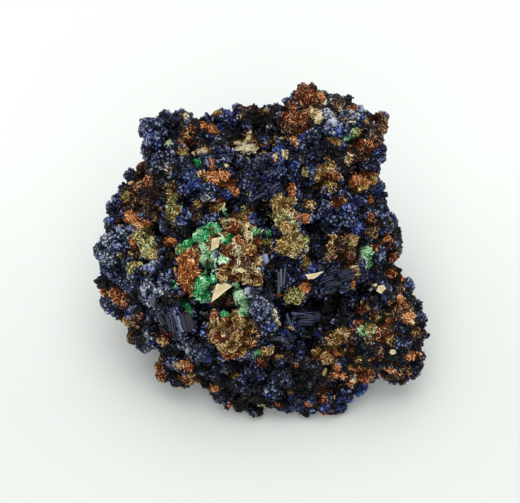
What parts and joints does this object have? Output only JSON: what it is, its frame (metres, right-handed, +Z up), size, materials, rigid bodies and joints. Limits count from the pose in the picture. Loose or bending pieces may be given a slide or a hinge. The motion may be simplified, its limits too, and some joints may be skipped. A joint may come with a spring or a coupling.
{
  "type": "azurite specimen",
  "caption": "Lump of dark blue azurite crystals and balls grown through rusty and ochre iron oxides with green malachite, with a flat broken underside to rest on.",
  "frame": {"origin": "on the ground, under the middle of the specimen's overall extent", "axes": "+Z up from the flat broken underside, +X to the right along the specimen's width when its display side is faced, +Y away from the viewer; the display side leans back and faces up and towards -Y"},
  "size_m": [0.0614, 0.0474, 0.0416],
  "materials": {
    "azurite_specimen": "half-glossy dark blue azurite granules and blades, with matt rusty, ochre and green patches"
  },
  "bodies": {
    "root": {"azurite_specimen": "azurite_specimen"}
  },
  "joints": []
}
